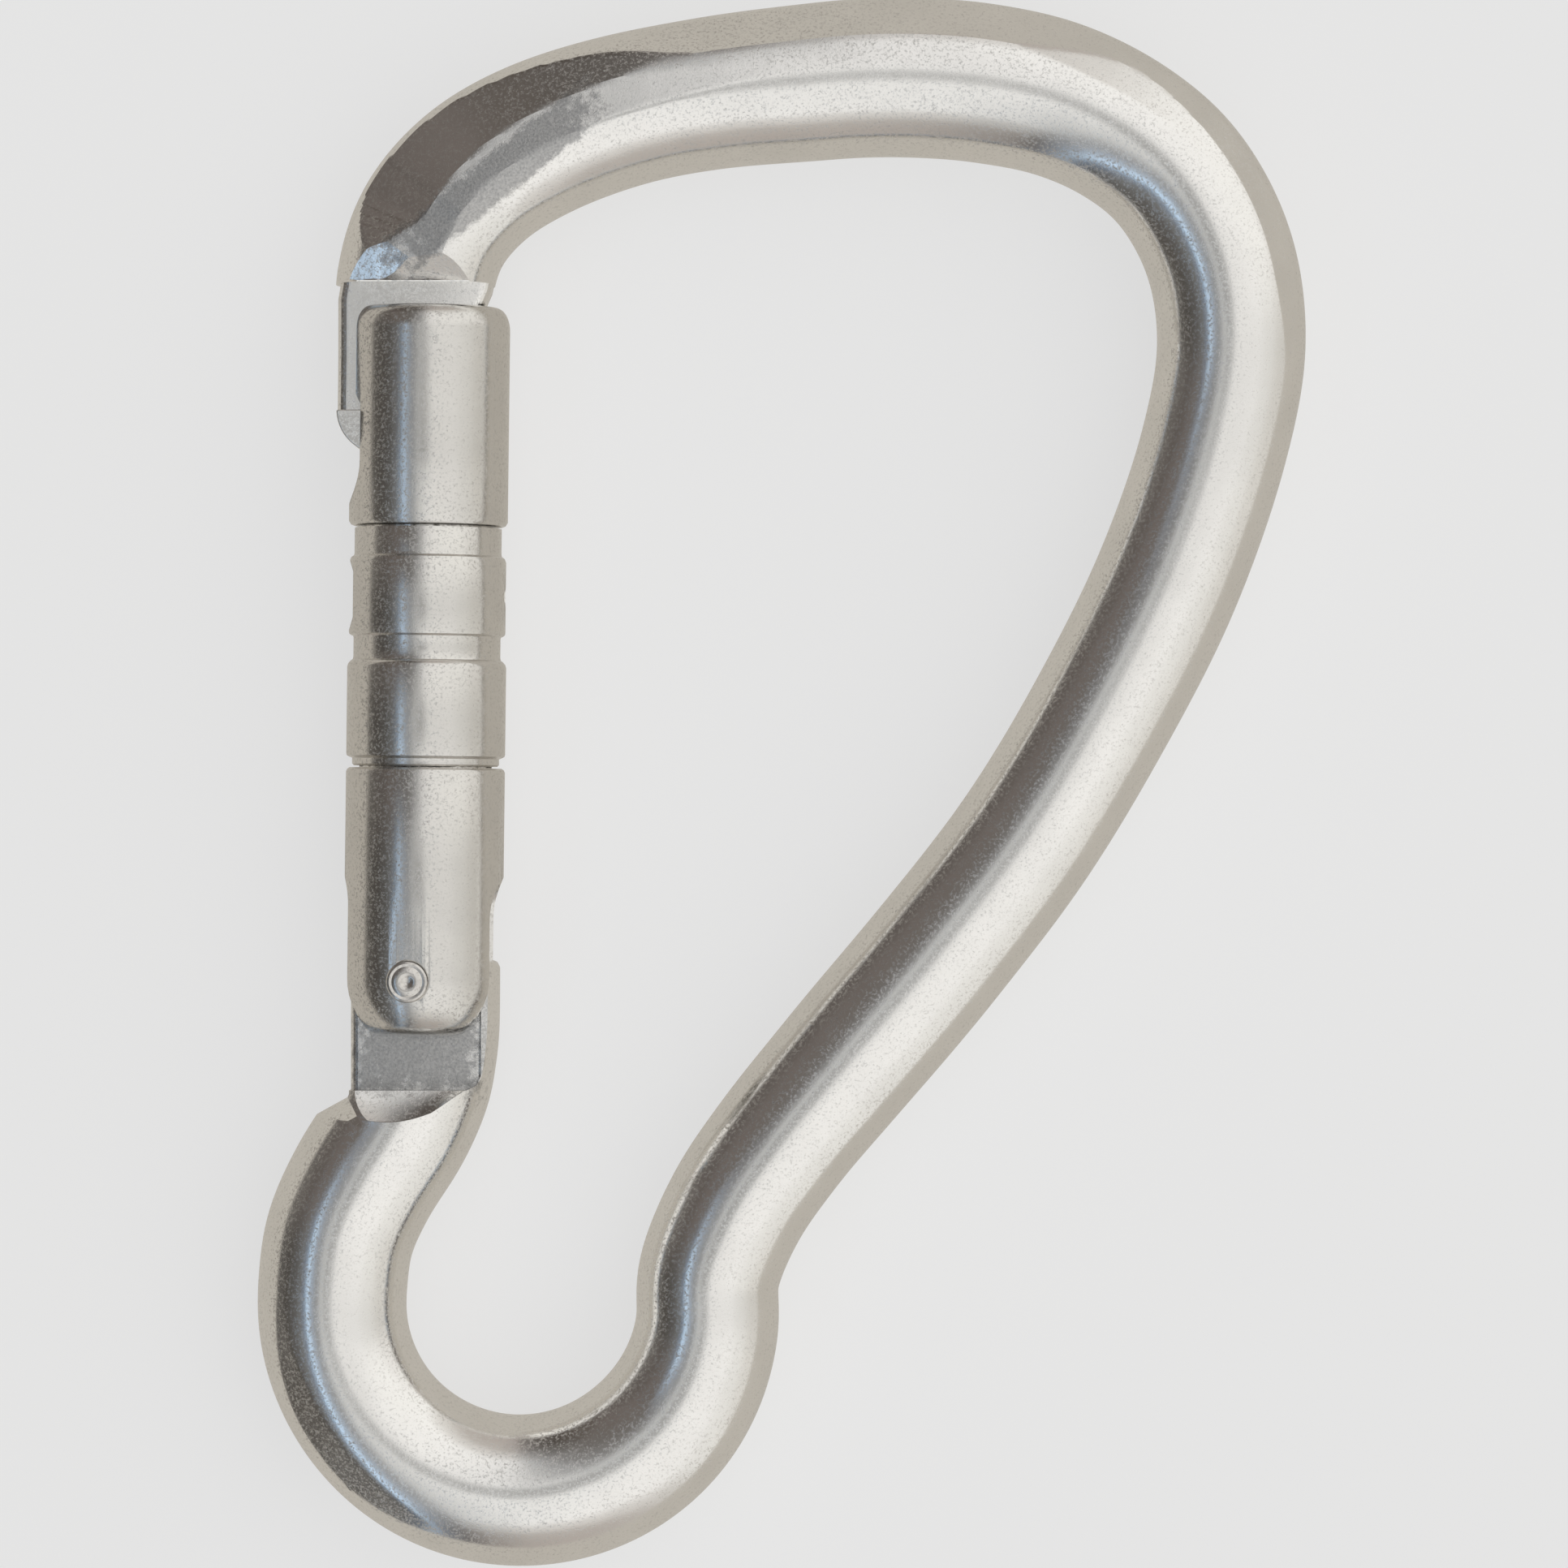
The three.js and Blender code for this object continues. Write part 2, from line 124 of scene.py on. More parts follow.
def lathe(name, profile, segments=160, axis="Y"):
    """A closed solid of revolution from (radius, height) pairs that run from the axis to the axis,
    or round a closed loop."""
    on_axis = profile[0][0] == 0
    bm = bmesh.new()
    columns = []
    for i in range(segments):
        angle = 2 * math.pi * i / segments
        c, s = math.cos(angle), math.sin(angle)
        column = []
        for r, h in profile:
            if r == 0:
                column.append(None)
            elif axis == "Y":
                column.append(bm.verts.new((r * c, h, r * s)))
            else:
                column.append(bm.verts.new((r * c, r * s, h)))
        columns.append(column)
    poles = {}
    for k, (r, h) in enumerate(profile):
        if r == 0:
            poles[k] = bm.verts.new((0, h, 0) if axis == "Y" else (0, 0, h))
    steps = len(profile) - 1 if on_axis else len(profile)
    for i in range(segments):
        a, b = columns[i], columns[(i + 1) % segments]
        for k in range(steps):
            m = (k + 1) % len(profile)
            corners = [poles.get(k, a[k]), poles.get(k, b[k]), poles.get(m, b[m]), poles.get(m, a[m])]
            unique = list(dict.fromkeys(corners))
            bm.faces.new(unique)
    return new_object(name, bm)


def prism(name, outline, low_w, high_w, plane="XY"):
    """A straight solid: an outline in one plane, from low_w to high_w along the other axis."""
    place = {
        "XY": lambda p, w: (p[0], p[1], w),
        "YZ": lambda p, w: (w, p[0], p[1]),
        "XZ": lambda p, w: (p[0], w, p[1]),
    }[plane]
    return loft(name, [[place(p, low_w) for p in outline], [place(p, high_w) for p in outline]])


def block(name, lo, hi):
    """A box between two corners."""
    outline = [(lo[0], lo[1]), (hi[0], lo[1]), (hi[0], hi[1]), (lo[0], hi[1])]
    return prism(name, outline, lo[2], hi[2])


def arc(x, y, radius, start, end, steps):
    """Points on an arc, from one angle to another in degrees."""
    angles = [math.radians(start + (end - start) * i / steps) for i in range(steps + 1)]
    return [(x + radius * math.cos(a), y + radius * math.sin(a)) for a in angles]


def rod(name, radius, centre, low_w, high_w, plane="XY", segments=64):
    """A straight cylinder, placed as prism() places an outline."""
    outline = arc(centre[0], centre[1], radius, 0, 360 - 360 / segments, segments - 1)
    return prism(name, outline, low_w, high_w, plane)


def combine(obj, other, operation):
    """Joins other to obj, or cuts it away, and removes other."""
    modifier = obj.modifiers.new("combine", "BOOLEAN")
    modifier.operation = operation
    modifier.solver = "MANIFOLD"
    modifier.object = other
    settle(obj)
    bpy.data.objects.remove(other)
    return obj


def settle(obj):
    """Applies all of an object's modifiers."""
    bpy.context.view_layer.update()
    graph = bpy.context.evaluated_depsgraph_get()
    mesh = bpy.data.meshes.new_from_object(obj.evaluated_get(graph))
    obj.modifiers.clear()
    obj.data = mesh
    return obj


def soften(obj, width, angle=50, segments=3):
    """Rounds an object's sharp edges."""
    modifier = obj.modifiers.new("edges", "BEVEL")
    modifier.width = width
    modifier.segments = segments
    modifier.limit_method = "ANGLE"
    modifier.angle_limit = math.radians(angle)
    modifier.harden_normals = False
    return settle(obj)


def finish_piece(obj, matrix, material, body, slot, *nodes, sharp=32):
    """Smooth shading, place, finish and body of a piece."""
    obj.data.shade_smooth()
    obj.data.set_sharp_from_angle(angle=math.radians(sharp))
    obj.matrix_world = matrix
    obj.data.materials.clear()
    obj.data.materials.append(material)
    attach(obj, body)
    if nodes:
        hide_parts(*nodes)
    return obj


# ---- The bar ------------------------------------------------------------------------------------

# Where the round bar begins and ends on its centre line, and its widths between them, evenly spaced.
NOSE_END = (-30.9, 42.0)
TANG_END = (-30.8, -25.0)
BAR_WIDTHS = [13.2, 13.3, 12.7, 13.2, 13.3, 12.7, 12.5, 12.3, 12.3, 12.2]
BAR_WIDTHS += [12.3, 12.4, 12.0, 11.9, 12.6, 12.6, 12.4, 12.5, 12.6]
NECK_WIDTH = 12.6
TANG_WIDTH = 12.4

SIDES = 144  # points round the bar's section
SPACING = 0.55  # between stations of the centre line, four times closer outside the plain stretch
PLAIN_STRETCH = (18, 290)  # as distances along the line, in millimetres


def bar_route():
    """The centre line, from the nose's neck over the wide end, down the spine, round the hook and
    into the hinge tang."""
    points = [(-31.1, 31.0), (-31.1, 36.5), NOSE_END, (-29.4, 46.7), (-25.9, 50.8), (-21.0, 53.8)]
    points += [(-14.0, 56.3), (-6.0, 57.9)]
    points += arc(9.3, -0.8, 60, 96.5, 83.5, 5)
    points += [(22.6, 57.5), (28.4, 54.8), (32.9, 51.0), (36.4, 44.6), (37.5, 37.0)]
    points += [(36.1, 28.6), (32.1, 17.0), (26.6, 6.0), (20.2, -4.6), (12.7, -14.4)]
    points += [(4.8, -23.8), (-0.3, -30.0), (-4.1, -35.6)]
    points += arc(-22.1, -43.4, 15.8, 7, -187, 17)
    points += [(-37.2, -37.6), (-35.1, -33.0), (-32.5, -28.9), TANG_END, (-30.1, -21.4)]
    points += [(-30.0, -18.0), (-30.0, -11.0)]
    return points


def smooth_route(points):
    """A centripetal Catmull-Rom curve through points, with stations close together near its ends."""
    vectors = [Vector(p) for p in points]
    vectors = [2 * vectors[0] - vectors[1], *vectors, 2 * vectors[-1] - vectors[-2]]
    per_span = 24
    fine = []
    for p0, p1, p2, p3 in zip(vectors, vectors[1:], vectors[2:], vectors[3:]):
        t1 = (p1 - p0).length ** 0.5
        t2 = t1 + (p2 - p1).length ** 0.5
        t3 = t2 + (p3 - p2).length ** 0.5
        for i in range(per_span):
            t = t1 + (t2 - t1) * i / per_span
            a1 = p0 * (t1 - t) / t1 + p1 * t / t1
            a2 = p1 * (t2 - t) / (t2 - t1) + p2 * (t - t1) / (t2 - t1)
            a3 = p2 * (t3 - t) / (t3 - t2) + p3 * (t - t2) / (t3 - t2)
            b1 = a1 * (t2 - t) / t2 + a2 * t / t2
            b2 = a2 * (t3 - t) / (t3 - t1) + a3 * (t - t1) / (t3 - t1)
            fine.append(b1 * (t2 - t) / (t2 - t1) + b2 * (t - t1) / (t2 - t1))
    fine.append(vectors[-2])
    even = relax(resample(fine, SPACING), 6)
    out = []
    for a, b, walked in zip(even, even[1:], distances(even)):
        pieces = 1 if PLAIN_STRETCH[0] < walked < PLAIN_STRETCH[1] else 4
        out += [a.lerp(b, i / pieces) for i in range(pieces)]
    return [*out, even[-1]]


def distances(points):
    """How far along a line each of its points is."""
    out = [0.0]
    for a, b in zip(points, points[1:]):
        out.append(out[-1] + (b - a).length)
    return out


def resample(points, spacing):
    """The same line with points at even spacing."""
    lengths = distances(points)
    count = round(lengths[-1] / spacing)
    out, k = [], 0
    for i in range(count + 1):
        s = lengths[-1] * i / count
        while k < len(points) - 2 and lengths[k + 1] < s:
            k += 1
        t = (s - lengths[k]) / (lengths[k + 1] - lengths[k])
        out.append(points[k].lerp(points[k + 1], min(1.0, t)))
    return out


def relax(values, passes):
    """Evens out a list of numbers or vectors, keeping its ends."""
    for _ in range(passes):
        inner = [(a + 2 * b + c) / 4 for a, b, c in zip(values, values[1:], values[2:])]
        values = [values[0], *inner, values[-1]]
    return values


# Flats that the forging and bending tools left on the bar: from one place on the route to another,
# the angle of each flat from the bar's outer side towards its faces, its depth, and the shares of
# its length over which it comes in and fades out.
FLATS = [
    ((-30.7, 43.6), (-11.0, 57.1), 59.5, 1.1, 0.28, 0.5),
    ((-31.1, 39.0), (-1.0, 58.6), 84, 0.5, 0.1, 0.5),
    ((-12.0, 57.0), (25.5, 56.5), 44, 0.42, 0.12, 0.12),
    ((27.5, 55.3), (38.0, 36.0), 40, 0.22, 0.2, 0.2),
    ((20.0, 58.0), (33.0, 51.0), 62, 0.16, 0.3, 0.3),
    ((-37.6, -45.0), (-28.0, -58.0), 50, 0.2, 0.3, 0.3),
]


def nearest(route, place):
    """The station of the route that is closest to a place."""
    return min(range(len(route)), key=lambda i: (route[i] - Vector(place)).length)


def flat_depths(route):
    """For each flat, its angle and its depth at every station."""
    out = []
    for start, end, angle, depth, fade_in, fade_out in FLATS:
        a, b = nearest(route, start), nearest(route, end)
        depths = []
        for i in range(len(route)):
            t = (i - a) / (b - a)
            rise = min(t / fade_in, (1 - t) / fade_out)
            depths.append(depth * max(0.0, min(1.0, rise)))
        out.append((math.radians(angle), relax(depths, 20)))
    return out


def smooth_step(value):
    """0 up to 0, 1 from 1, and a smooth rise between them."""
    t = max(0.0, min(1.0, value))
    return t * t * (3 - 2 * t)


def bar():
    """The round bar with its flats, before its ends are cut and joined to their plates."""
    route = smooth_route(bar_route())
    flats = flat_depths(route)
    last = len(route) - 1
    first_round, last_round = nearest(route, NOSE_END), nearest(route, TANG_END)
    walked = distances(route)
    rings = []
    for i, centre in enumerate(route):
        share = (walked[i] - walked[first_round]) / (walked[last_round] - walked[first_round])
        along = (route[min(i + 1, last)] - route[max(i - 1, 0)]).normalized()
        across = Vector((-along.y, along.x))
        half = width_at(share) / 2
        ring = []
        for j in range(SIDES):
            angle = 2 * math.pi * j / SIDES
            p = Vector((half * math.cos(angle), HALF_THICKNESS * math.sin(angle)))
            for direction, depths in flats:
                p = flatten(p, direction, half, depths[i])
                p = flatten(p, -direction, half, depths[i])
            ring.append((centre.x + across.x * p.x, centre.y + across.y * p.x, p.y))
        rings.append(ring)
    return loft("bar_forging", rings)


def width_at(share):
    """The bar's width, seen from above, at a share of the way from the nose to the tang: a smooth
    curve through BAR_WIDTHS, which runs out quickly to the neck's and the tang's width."""
    if share <= 0:
        return NECK_WIDTH + (BAR_WIDTHS[0] - NECK_WIDTH) * smooth_step(1 + share * 60)
    if share >= 1:
        return TANG_WIDTH + (BAR_WIDTHS[-1] - TANG_WIDTH) * smooth_step(1 - (share - 1) * 80)
    at = share * (len(BAR_WIDTHS) - 1)
    k = min(int(at), len(BAR_WIDTHS) - 2)
    t = at - k
    before = BAR_WIDTHS[max(k - 1, 0)]
    after = BAR_WIDTHS[min(k + 2, len(BAR_WIDTHS) - 1)]
    a, b = BAR_WIDTHS[k], BAR_WIDTHS[k + 1]
    curve = 0.5 * (2 * a + (b - before) * t + (2 * before - 5 * a + 4 * b - after) * t * t)
    return curve + 0.5 * (3 * a - before - 3 * b + after) * t**3


def flatten(p, direction, half, depth):
    """Moves a point of the section back onto a flat at that angle, if it stands past it."""
    if depth <= 0:
        return p
    normal = Vector((math.cos(direction), math.sin(direction)))
    reach = math.hypot(half * normal.x, HALF_THICKNESS * normal.y) - depth
    over = p.dot(normal) - reach
    return p - normal * over if over > 0 else p


def rounded_plate(name, outline, half, radius, segments=4):
    """A plate about the middle plane, with all of its edges rounded."""
    plate = prism(name, outline, -half, half)
    return soften(plate, radius, 40, segments)


def nose_plates():
    """The nose's flat neck, and the thicker T head at its end."""
    neck = [(-24.3, 43.5), (-36.2, 44.6), (-36.9, 42.6), (-37.25, 40.5), (-37.25, 36.0)]
    neck += arc(-33.6, 31.2, 3.7, 180, 270, 14) + arc(-26.7, 29.0, 1.5, 270, 360, 8)
    neck += [(-25.2, 39.5), (-24.85, 40.3), (-24.5, 41.1), (-24.3, 42.0)]
    head = [(-26.2, 31.2), (-37.25, 31.2), *arc(-33.6, 31.2, 3.7, 182, 270, 14)]
    head += arc(-27.7, 29.0, 1.5, 270, 360, 8)
    return [
        rounded_plate("neck", neck, NECK_HALF, 1.0, 6),
        rounded_plate("head", head, HEAD_HALF, 1.1, 8),
    ]


def tang_web():
    """The hinge tang: a plate with a round end about the rivet."""
    edge = TANG_EDGE_X
    web = [(edge, -27.5), (-24.9, -27.5), (-24.7, -15.2), (RIVET[0] + 4.6, RIVET[1] + 4.4)]
    web += arc(*RIVET, RIVET[0] - edge, 118, 180, 12)
    return rounded_plate("web", web, TANG_HALF, 0.85, 6)


def bar_trims():
    """What is cut away from the bar's ends: round the neck, outside the tang and above its rim."""
    neck = [(-46, 20), (-20, 20), (-20, 41.5), (-24.0, 41.6), (-24.7, 41.8), (-46, 41.8)]
    edge = TANG_EDGE_X
    tang = [(edge, -5), (edge, -25.8), (edge - 0.1, -26.05), (edge - 0.3, -26.2), (-38.5, -27.3)]
    tang += [(-41.0, -28.7), (-46.0, -28.7), (-46.0, -5)]
    pocket = [(-46, -5), (-46, -25.5), (-26.4, -25.5), (-25.6, -25.1), (-25.25, -24.3), (-25.25, -5)]
    above = [(-26, -5), (-26, -15.6), (-25.1, -15.1), (-24.6, -14.8), (-24.1, -14.95), (-23.8, -15.4)]
    above += [(-20, -15.4), (-20, -5)]
    return neck, tang, pocket, above


RIDGE_X = -31.4  # inwards of this place, the slope up from the nose is RIDGE_SLOPE
RIDGE_SLOPE = 0.66
CLEAR_Z = 14  # well above the bar


def mould(name, stations, profile):
    """A cutter lofted along X, from a profile of (y, z) pairs at each station."""
    return loft(name, [[(x, y, z) for y, z in profile(x)] for x in stations])


def steps(low, high, count):
    """Evenly spaced numbers, both ends among them."""
    return [low + (high - low) * i / count for i in range(count + 1)]


def nose_profile(x):
    """What is cut off above the forged nose, at one place across it. From the foot a slope rises to
    a crease, where it meets the facet behind it. The facet tips across the bar and back along it.
    The slope is steeper towards the outer side, beyond RIDGE_X."""
    foot, foot_z = 41.9, 4.3
    facet_across, facet_back = 0.29, 0.23
    slope = RIDGE_SLOPE if x > RIDGE_X else 2.77 / max(0.7, x + 35.6)
    facet_z = 5.0 + facet_across * (x + 34.1) + facet_back * (foot - 45.4)
    rise = max(0.12, (facet_z - foot_z) / (slope - facet_back))
    crease = (foot + rise, facet_z + facet_back * rise)
    halfway = (foot + rise / 2, (foot_z + crease[1]) / 2)
    facet_end = (crease[0] + 9, crease[1] + 9 * facet_back)
    low_edge = [(20, foot_z - 0.2), (foot - 0.5, foot_z - 0.15), (foot, foot_z)]
    return [*low_edge, halfway, crease, facet_end, (56, CLEAR_Z), (20, CLEAR_Z)]


def ledge_y(x):
    """Where the hollow ledge below the tang's pocket comes out at the bar's surface."""
    return -25.7 - 2.3 * math.sin(1.6 * max(0.0, (-25.6 - x) / 7.7))


def pocket_profile(x):
    """What is cut off above the tang's pocket: its ledge rises in a shallow hollow."""
    depth = POCKET_Y - ledge_y(x)
    hollow = [(POCKET_Y - depth * t, 4.3 + 0.9 * t + 0.4 * t * t) for t in steps(0, 1, 8)]
    return [(-4, 4.2), *hollow, (hollow[-1][0] - 0.6, 9), (-4, 9)]


def rim_profile(x):
    """What is cut off above the tang's rim, the same all the way across it."""
    rise = [(-24.2, RIM_HALF), (-24.8, 3.3), (-25.4, 3.8), (-26.0, 4.6), (-26.6, 6.0)]
    return [(-4, RIM_HALF), *rise, (-27.4, 9), (-4, 9)]


def shoulder():
    """A cutter that rounds the bar's corner beside the tang, along the corner's slanted edge."""
    edge = [(-0.5, 0.3), (0.02, 0.3), (0.15, 1.4), (0.45, 2.7), (1.0, 3.9), (1.8, 4.9), (3.0, 5.7)]
    profile = [*edge, (4.0, 6.1), (4.0, 9), (-0.5, 9)]
    along = Vector((-0.876, -0.482))
    inward = Vector((0.482, -0.876))
    rings = []
    for distance in (0.0, 9.0):
        start = Vector((TANG_EDGE_X - 0.12, -26.0)) + along * distance
        rings.append([(*(start + inward * d), z) for d, z in profile])
    return loft("shoulder", rings)


def mirrored(cutter):
    """A copy of a cutter on the other face."""
    bm = bmesh.new()
    bm.from_mesh(cutter.data)
    bmesh.ops.transform(bm, matrix=Matrix.Diagonal((1, 1, -1, 1)), verts=bm.verts)
    return new_object(cutter.name, bm)


def build_body():
    """The bar, cut to its forged shapes, with its plates and the rivet's hole."""
    body = bar()
    across_nose = [*steps(-46, -35, 4)[:-1], *steps(-35, RIDGE_X, 18), -27, -16]
    moulds = [
        mould("nose", across_nose, nose_profile),
        mould("pocket", [-46, -40, *steps(-37.0, -25.2, 60)], pocket_profile),
        mould("rim", [-25.5, -16], rim_profile),
        shoulder(),
    ]
    for cutter in moulds:
        combine(body, mirrored(cutter), "DIFFERENCE")
        combine(body, cutter, "DIFFERENCE")
    for outline in bar_trims():
        combine(body, prism("cut", outline, -9, 9), "DIFFERENCE")
    for plate in (*nose_plates(), tang_web()):
        combine(body, plate, "UNION")
    combine(body, rod("hole", 1.65, RIVET, -5, 5), "DIFFERENCE")
    return body


# ---- The gate, in its own frame: u across, v along, w through -----------------------------------


def tang_slot(half, low_u, high_u):
    """A slot across the gate's foot, with a round top, that the tang turns in."""
    foot, top = -6.0, 8.7
    outline = [(foot, -half), *arc(top - half, 0, half, -90, 90, 20), (foot, half)]
    return prism("slot", outline, low_u, high_u, "YZ")


def cut_pin_path(barrel):
    """The two windows that the collar's pin turns in, each a quarter turn wide with square ends."""
    low_v, high_v = PIN_V - PIN_PATH_HALF, PIN_V + PIN_PATH_HALF
    quarter = [(0, 0), *arc(0, 0, 8, 90, 180, 12)]
    opposite = [(-x, -z) for x, z in quarter]
    for outline in (quarter, opposite):
        combine(barrel, prism("cut", outline, low_v, high_v, "XZ"), "DIFFERENCE")
    for half_u, half_w in ((8, PIN_PATH_HALF), (PIN_PATH_HALF, 8)):
        window = block("cut", (-half_u, low_v, -half_w), (half_u, high_v, half_w))
        combine(barrel, window, "DIFFERENCE")


def build_barrel():
    """The turned barrel: a rounded foot with the tang's fork, and a thin core for the collar."""
    shoulder_v, step_v, top_v = 17.75, COLLAR_TOP_V, 41.2
    bore_r, bore_top = 3.0, 39.7
    tang_gap, rim_gap, rim_gap_from = 2.4, 3.45, 2.6
    hole_r, seat_r, seat_w = 1.55, 1.85, 6.38
    profile = [(0, -4.6), (3.6, -4.58), (4.5, -4.45), (4.95, -4.2), (5.4, -3.7), (5.85, -2.95)]
    profile += [(6.25, -2.05), (6.5, -1.25), (6.62, -0.5), (GATE_R, 0.2), (GATE_R, 8), (GATE_R, 17.4)]
    profile += [(GATE_R - 0.08, shoulder_v - 0.15), (GATE_R - 0.3, shoulder_v)]
    profile += [(CORE_R, shoulder_v), (CORE_R, step_v), (5.3, step_v), (5.3, top_v), (0, top_v)]
    barrel = lathe("gate_barrel_turned", profile)
    bore = lathe("bore", [(0, -8), (bore_r, -8), (bore_r, bore_top), (0, bore_top)], 64)
    combine(barrel, bore, "DIFFERENCE")
    combine(barrel, tang_slot(tang_gap, -9, 9), "DIFFERENCE")
    combine(barrel, tang_slot(rim_gap, rim_gap_from, 9), "DIFFERENCE")
    cut_pin_path(barrel)
    combine(barrel, rod("hole", hole_r, (RIVET_U, 0), -8, 8), "DIFFERENCE")
    for side in (1, -1):
        seat = rod("seat", seat_r, (RIVET_U, 0), side * seat_w, side * 8)
        combine(barrel, seat, "DIFFERENCE")
    return soften(barrel, 0.12, 50, 2)


def build_sleeve():
    """The sleeve, with an oval rounding at its end and a keyhole for the nose in its outer side."""
    foot, top = SLEEVE_V
    edge, edge_length = 1.15, 1.9
    neck_half, head_half, head_v, head_top = 2.8, 3.6, 43.3, 48.0
    profile = [(SLEEVE_BORE_R, foot), (6.15, foot), (6.47, foot + 0.12), (GATE_R, foot + 0.42)]
    profile.append((GATE_R, 45))
    for c, s in arc(0, 0, 1, 0, 90, 10):
        profile.append((GATE_R - edge * (1 - c), top - edge_length * (1 - s)))
    profile += [(SLEEVE_BORE_R, top), (SLEEVE_BORE_R, 48)]
    sleeve = lathe("nose_sleeve_turned", profile)
    key = [(60, -neck_half), (60, neck_half), (head_top + 0.9, neck_half), (head_top, head_half)]
    key += arc(head_v, 0, head_half, 90, 270, 24)
    key += [(head_top, -head_half), (head_top + 0.9, -neck_half)]
    combine(sleeve, prism("key", key, -9, -2, "YZ"), "DIFFERENCE")
    return soften(sleeve, 0.15, 50, 2)


def build_collar():
    """The collar: two raised rings between grooves, and a spot face round the end of its pin."""
    bore, foot, top = COLLAR_BORE_R, 17.9, COLLAR_TOP_V
    spot_r, spot_u, pin_r = 3.05, -6.1, 1.0
    low_ring, low_end, high_ring, high_end = 18.65, 26.7, 28.8, 35.5
    high_r = GATE_R - 0.1
    profile = [(bore, foot), (GROOVE_R - 0.15, foot), (GROOVE_R, foot + 0.15)]
    profile += [(GROOVE_R, low_ring - 0.12), (GATE_R - 0.2, low_ring), (GATE_R - 0.04, low_ring + 0.1)]
    profile += [(GATE_R, low_ring + 0.3), (GATE_R, low_end - 0.5), (GATE_R - 0.08, low_end - 0.25)]
    profile += [(GATE_R - 0.3, low_end), (GROOVE_R + 0.06, low_end + 0.08), (GROOVE_R, low_end + 0.3)]
    profile += [(GROOVE_R, high_ring - 0.2), (GROOVE_R + 0.05, high_ring - 0.05)]
    profile += [(high_r - 0.2, high_ring), (high_r - 0.04, high_ring + 0.12), (high_r, high_ring + 0.3)]
    profile += [(high_r, high_end - 0.5), (high_r - 0.12, high_end - 0.18)]
    profile += [(GROOVE_R + 0.04, high_end), (GROOVE_R, high_end + 0.2), (GROOVE_R, top), (bore, top)]
    collar = lathe("lock_collar_turned", profile, 192)
    combine(collar, rod("spot", spot_r, (PIN_V, 0), -9, spot_u, "YZ"), "DIFFERENCE")
    combine(collar, rod("hole", pin_r, (PIN_V, 0), -9, 9, "YZ"), "DIFFERENCE")
    return soften(collar, 0.08, 50, 2)


def build_rivet():
    """The rivet, with the same domed and dimpled head at both ends."""
    half = [(0, 0), (1.45, 0), (1.45, 6.4), (1.72, 6.42), (1.74, 6.6), (1.66, 6.76)]
    half += [(1.5, 6.84), (1.36, 6.82), (1.28, 6.8), (1.16, 6.86), (1.0, 6.93), (0.8, 6.96)]
    half += [(0.6, 6.95), (0.45, 6.88), (0.28, 6.78), (0.12, 6.74), (0, 6.73)]
    profile = [(r, -h) for r, h in reversed(half[1:])] + half[1:]
    return lathe("hinge_rivet_domed", profile, 96, "Z")


def build_closing_spring():
    """A round wire, wound about the gate's axis with a closed turn at each end."""
    foot, top = CLOSING_SPRING_V[0] + WIRE_R, CLOSING_SPRING_V[1] - WIRE_R
    turns, per_turn, closed = 8, 28, 2.15 * WIRE_R
    pitch = (top - foot - 2 * closed) / (turns - 2)
    rings = []
    for i in range(turns * per_turn + 1):
        turned = i / per_turn
        from_end = min(turned, turns - turned)
        rise = closed * min(1, from_end) + pitch * max(0, from_end - 1)
        height = foot + rise if from_end == turned else top - rise
        c, s = math.cos(2 * math.pi * turned), math.sin(2 * math.pi * turned)
        wire = [(SPRING_R + r, height + h) for r, h in arc(0, 0, WIRE_R, 0, 330, 11)]
        rings.append([(r * c, h, r * s) for r, h in wire])
    return loft("closing_spring_wound", rings)


# ---- Materials ----------------------------------------------------------------------------------


